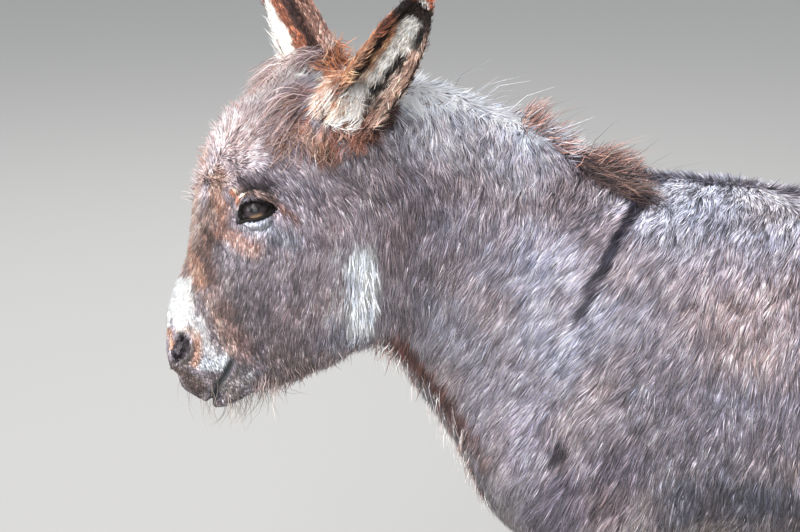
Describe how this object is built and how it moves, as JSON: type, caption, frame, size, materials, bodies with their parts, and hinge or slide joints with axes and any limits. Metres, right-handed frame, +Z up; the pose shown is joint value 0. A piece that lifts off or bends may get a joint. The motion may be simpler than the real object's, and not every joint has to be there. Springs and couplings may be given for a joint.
{
  "type": "donkey",
  "caption": "Life-size standing donkey figure, head held low, ears up, with coat, mane and tufted tail, for scenes and displays.",
  "frame": {"origin": "on the floor, under the middle of the donkey's box", "axes": "+Z up, the donkey faces -Y and its left side is +X"},
  "size_m": [0.335, 1.2658, 1.1119],
  "materials": {
    "coat": "soft mouse-grey winter fur with a dark back stripe and shoulder cross",
    "pale_muzzle": "short white fur, brown-grey round the nostrils and lips",
    "ear_hair": "rust-brown fur with cream hair inside and dark tips",
    "mane_hair": "coarse dark brown hair",
    "hoof": "dark grey horn, satin",
    "eye": "wet dark brown eyeball"
  },
  "bodies": {
    "root": {"head": "coat", "muzzle": "pale_muzzle", "neck": "coat", "trunk": "coat", "eye_left": "eye", "eye_right": "eye", "ear_left": "ear_hair", "ear_right": "ear_hair", "mane": "mane_hair", "foreleg_left": "coat", "hoof_fore_left": "hoof", "foreleg_right": "coat", "hoof_fore_right": "hoof", "hindleg_left": "coat", "hoof_hind_left": "hoof", "hindleg_right": "coat", "hoof_hind_right": "hoof", "tail": "coat", "tail_switch": "mane_hair"}
  },
  "joints": []
}
